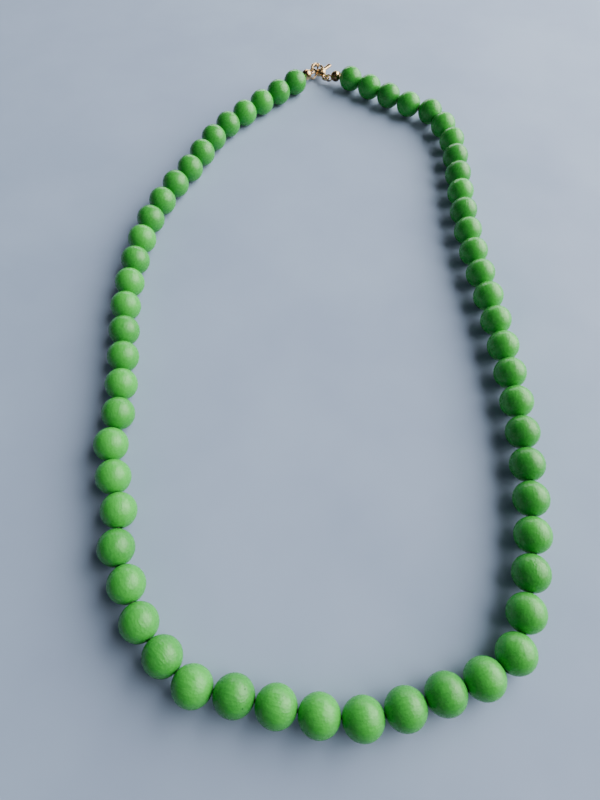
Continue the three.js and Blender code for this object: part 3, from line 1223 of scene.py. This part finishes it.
    def build_body(self) -> bpy.types.Object:
        """Casts the body, cuts its slot and rivets the pin in.

        Returns:
            The body in its place.
        """
        body = mesh_object("lobster_clasp_body", *joined([self.eye(), self.housing(), self.hook()]))
        cast_in_one(body, self.grain, self.body_polish)
        cut_away(body, self.slot())
        x, y = self.pivot
        top = self.housing_thickness / 2
        pin = self.disc(self.pin_diameter, 2 * top - self.rivet_height, (x, y, 0.0))
        head = self.disc(self.rivet_diameter, 2 * self.rivet_height, (x, y, top))
        rivet = mesh_object("pin_and_head", *joined([pin, head]))
        with_pin = self.merged(body, rivet)
        return self.placed(cast_in_one(with_pin, self.grain, self.pinned_polish))

    def merged(self, target: bpy.types.Object, extra: bpy.types.Object) -> bpy.types.Object:
        """Puts the meshes of two objects into one.

        Args:
            target: The object whose name the result takes.
            extra: The object whose mesh is added.

        Returns:
            A new object, in place of both.
        """
        parts = []
        for source in (target, extra):
            mesh = source.data
            places = np.array([v.co[:] for v in mesh.vertices])
            parts.append((places, [tuple(p.vertices) for p in mesh.polygons]))
        name = target.name
        bpy.data.objects.remove(extra)
        bpy.data.objects.remove(target)
        return mesh_object(name, *joined(parts))

    def gate(self) -> Skin:
        """The lever's gate arm, which closes the hook.

        Returns:
            The points and the faces of the arm.
        """
        count = 50
        path = self.oval_path(*self.gate_at, self.hook_wall, count)
        sizes = domed_ends(count, self.gate_rounding) / 2
        sections = [
            oval(self.gate_wall * s, self.lever_thickness * s, self.gate_squareness, self.sides)
            for s in sizes
        ]
        return swept(path, sections, UP, Mode.CAPPED)

    def tab(self) -> Skin:
        """The lever's thumb tab, which widens to a rounded end.

        Returns:
            The points and the faces of the tab.
        """
        count = 40
        t = np.linspace(0, 1, count)
        inner = np.array([*self.pivot, 0.0])
        root = np.array([self.pivot[0] + self.hub_diameter / 2, (self.hook_wall - self.hook_width) / 2, 0.0])
        end = root + np.array([self.tab_lean, -self.tab_length, 0.0])
        path = np.array([(1 - s) ** 2 * inner + 2 * s * (1 - s) * root + s ** 2 * end for s in t])
        ends = domed_tip(count, self.tab_rounding)
        widths = (self.tab_root_width + (self.tab_end_width - self.tab_root_width) * t ** 2) * ends
        thinning = self.tab_thins_to + (1 - self.tab_thins_to) * t
        heights = self.lever_thickness * thinning * np.maximum(ends, self.tab_end_share)
        sections = [oval(w / 2, h / 2, self.tab_squareness, self.sides) for w, h in zip(widths, heights)]
        return swept(path, sections, UP, Mode.CAPPED)

    def build_lever(self) -> bpy.types.Object:
        """Builds the lever round its hub and drills it for the pin.

        Returns:
            The lever in its place.
        """
        hub = self.disc(self.hub_diameter, self.lever_thickness, (*self.pivot, 0.0))
        lever = mesh_object("lobster_clasp_lever", *joined([hub, self.gate(), self.tab()]))
        cast_in_one(lever, self.grain, self.lever_polish)
        bore_diameter = self.pin_diameter + 2 * self.pin_clearance
        bore = self.disc(bore_diameter, 2 * self.lever_thickness, (*self.pivot, 0.0))
        return self.placed(cut_away(lever, mesh_object("pin_bore", *bore)))

    def dress(self, piece: bpy.types.Object, body: str, node: str, finish: bpy.types.Material) -> None:
        """Gives a piece of the clasp its plating, its body and the solid that it stands for.

        Args:
            piece: The clasp's body or lever.
            body: The body that it moves with.
            node: The solid that it stands for.
            finish: The plating's material.
        """
        piece.data.materials.clear()
        piece.data.materials.append(finish)
        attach(piece, body)
        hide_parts(node)


# The studio

WINDOW_WHITE: LampColour = (1.0, 0.975, 0.92)


def hang(light: bpy.types.Light, place: tuple[float, float, float]) -> None:
    """Hangs a light so that it faces the necklace.

    Args:
        light: The light.
        place: Where it hangs.
    """
    lamp = bpy.data.objects.new(light.name, light)
    bpy.context.scene.collection.objects.link(lamp)
    lamp.location = place
    lamp.rotation_euler = (-Vector(place)).to_track_quat("-Z", "Y").to_euler()


@dataclass(frozen=True)
class SoftLamp:
    """A rectangular soft light, with its place and size in metres and its power in watts."""

    name: str
    place: tuple[float, float, float]
    size: tuple[float, float]
    power: float
    colour: LampColour

    def build(self) -> None:
        """Makes the light and hangs it."""
        light = bpy.data.lights.new(self.name, "AREA")
        light.shape = "RECTANGLE"
        light.size, light.size_y = self.size
        light.energy = self.power
        light.color = self.colour
        hang(light, self.place)


@dataclass
class Studio:
    """The plain floor, a pale sky, the light of a window on the right, and the camera.

    The window's light comes twice: as a wide sun, which reaches the whole floor, and as a lamp near the
    necklace. A strip behind gives the beads their thin pale edge at the top.
    """

    floor_size: float = 12.0
    camera_place: tuple[float, float, float] = (-2.83 * MM, -97.9 * MM, 118.57 * MM)
    camera_dip: float = math.radians(61.77)
    lens: float = 24.02
    clip_start: float = 5.0 * MM
    sky: Colour = (0.80, 0.90, 1.0, 1.0)
    sky_low: float = 0.34
    sky_high: float = 0.03
    sky_fade: float = 0.38
    sun_from: tuple[float, float, float] = (0.47, 0.08, 0.30)
    sun_spread: float = math.radians(70)
    sun_strength: float = 6.0
    lamps: tuple[SoftLamp, ...] = (
        SoftLamp("window_key", (0.36, 0.18, 0.23), (0.50, 0.40), 4.0, WINDOW_WHITE),
        SoftLamp("back_window", (0.20, 0.85, 0.17), (1.0, 0.2), 4.2, (0.92, 0.96, 1.0)),
        SoftLamp("front_fill", (-0.35, -0.45, 0.5), (0.5, 0.5), 0.2, (0.85, 0.92, 1.0)),
    )

    def floor(self, finish: bpy.types.Material) -> None:
        """Lays the floor under the necklace.

        Args:
            finish: The floor's material.
        """
        half = self.floor_size / 2
        corners = np.array([[-half, -half, 0], [half, -half, 0], [half, half, 0], [-half, half, 0]])
        ground = mesh_object("studio_floor", corners, [(0, 1, 2, 3)])
        ground.data.materials.append(finish)

    def soft_sun(self) -> None:
        """Hangs the even part of the window's light."""
        light = bpy.data.lights.new("window_sun", "SUN")
        light.angle = self.sun_spread
        light.energy = self.sun_strength
        light.color = WINDOW_WHITE
        hang(light, self.sun_from)

    def world(self) -> None:
        """Sets the sky: pale near the floor and dim overhead."""
        world = bpy.data.worlds.new("studio_sky")
        world.use_nodes = True
        tree = world.node_tree
        sky = tree.nodes["Background"]
        sky.inputs["Color"].default_value = self.sky
        place = tree.nodes.new("ShaderNodeTexCoord")
        split = tree.nodes.new("ShaderNodeSeparateXYZ")
        fade = tree.nodes.new("ShaderNodeMapRange")
        fade.inputs["From Max"].default_value = self.sky_fade
        fade.inputs["To Min"].default_value = self.sky_low
        fade.inputs["To Max"].default_value = self.sky_high
        tree.links.new(place.outputs["Generated"], split.inputs["Vector"])
        tree.links.new(split.outputs["Z"], fade.inputs["Value"])
        tree.links.new(fade.outputs["Result"], sky.inputs["Strength"])
        bpy.context.scene.world = world

    def lights(self) -> None:
        """Sets the window's light, the strip behind, a weak fill and the sky."""
        self.soft_sun()
        for lamp in self.lamps:
            lamp.build()
        self.world()

    def camera(self) -> None:
        """Sets the camera at the angle of the photograph."""
        data = bpy.data.cameras.new("photo_camera")
        data.lens = self.lens
        data.clip_start = self.clip_start
        camera = bpy.data.objects.new("photo_camera", data)
        camera.location = self.camera_place
        camera.rotation_euler = (math.pi / 2 - self.camera_dip, 0.0, 0.0)
        bpy.context.scene.collection.objects.link(camera)
        bpy.context.scene.camera = camera


def report(piece: bpy.types.Object) -> None:
    """Logs a piece's name and how many faces it has."""
    LOG.info("%s: %d faces", piece.name, len(piece.data.polygons))


def tip_targets(
    tip: BeadTip, ring: JumpRing, clasp: LobsterClasp, faces: dict[End, np.ndarray],
) -> list[np.ndarray]:
    """Where the loops of the two tips reach for: the jump ring's wire and the eye's rim.

    Args:
        tip: The tips' sizes.
        ring: The jump ring.
        clasp: The clasp.
        faces: The drilled face that each tip sits at.

    Returns:
        The left tip's target and the right tip's.
    """
    height = faces[End.LEFT][2] - tip.loop_drop
    radius = (ring.diameter - ring.wire) / 2
    centre = ring.centre()
    out = math.sqrt(radius ** 2 - (height - centre[2]) ** 2)
    left = centre - ring.plan_direction() * out
    left[2] = height
    eye = clasp.eye_place()
    back = faces[End.RIGHT] - eye
    back[2] = 0.0
    rim = (clasp.eye_hole + clasp.eye_wall) / 2
    right = eye + back / np.linalg.norm(back) * rim
    return [left, right]


def main() -> None:
    """Builds the necklace's pieces in order, then the studio."""
    logging.basicConfig(level=logging.INFO, format="%(message)s")
    paint = PaintedWood().material()
    gold = GoldPlate().material()

    route = BeadRoute()
    centres = route.centres()
    axes = route.axes(centres)
    string = BeadString()
    for end in End:
        beads = string.build(end, centres, axes)
        string.dress(beads, end, paint)
        report(beads)

    thread = Thread()
    strands = thread.build(centres, axes)
    thread.dress(strands, WaxedThread().material())
    report(strands)

    ring = JumpRing()
    link = ring.build()
    ring.dress(link, gold)
    report(link)

    clasp = LobsterClasp()
    body = clasp.build_body()
    clasp.dress(body, "necklace", "clasp_body", gold)
    report(body)
    lever = clasp.build_lever()
    clasp.dress(lever, "lever", "clasp_lever", gold)
    report(lever)

    tip = BeadTip()
    faces = {
        End.LEFT: centres[0] - axes[0] * tip.bead_face,
        End.RIGHT: centres[-1] + axes[-1] * tip.bead_face,
    }
    for end, towards in zip(End, tip_targets(tip, ring, clasp, faces)):
        cups = tip.build(end, faces[end], towards)
        tip.dress(cups, end, gold)
        report(cups)

    studio = Studio()
    studio.floor(PaleFloor().material())
    studio.lights()
    studio.camera()


if __name__ == "__main__":
    main()
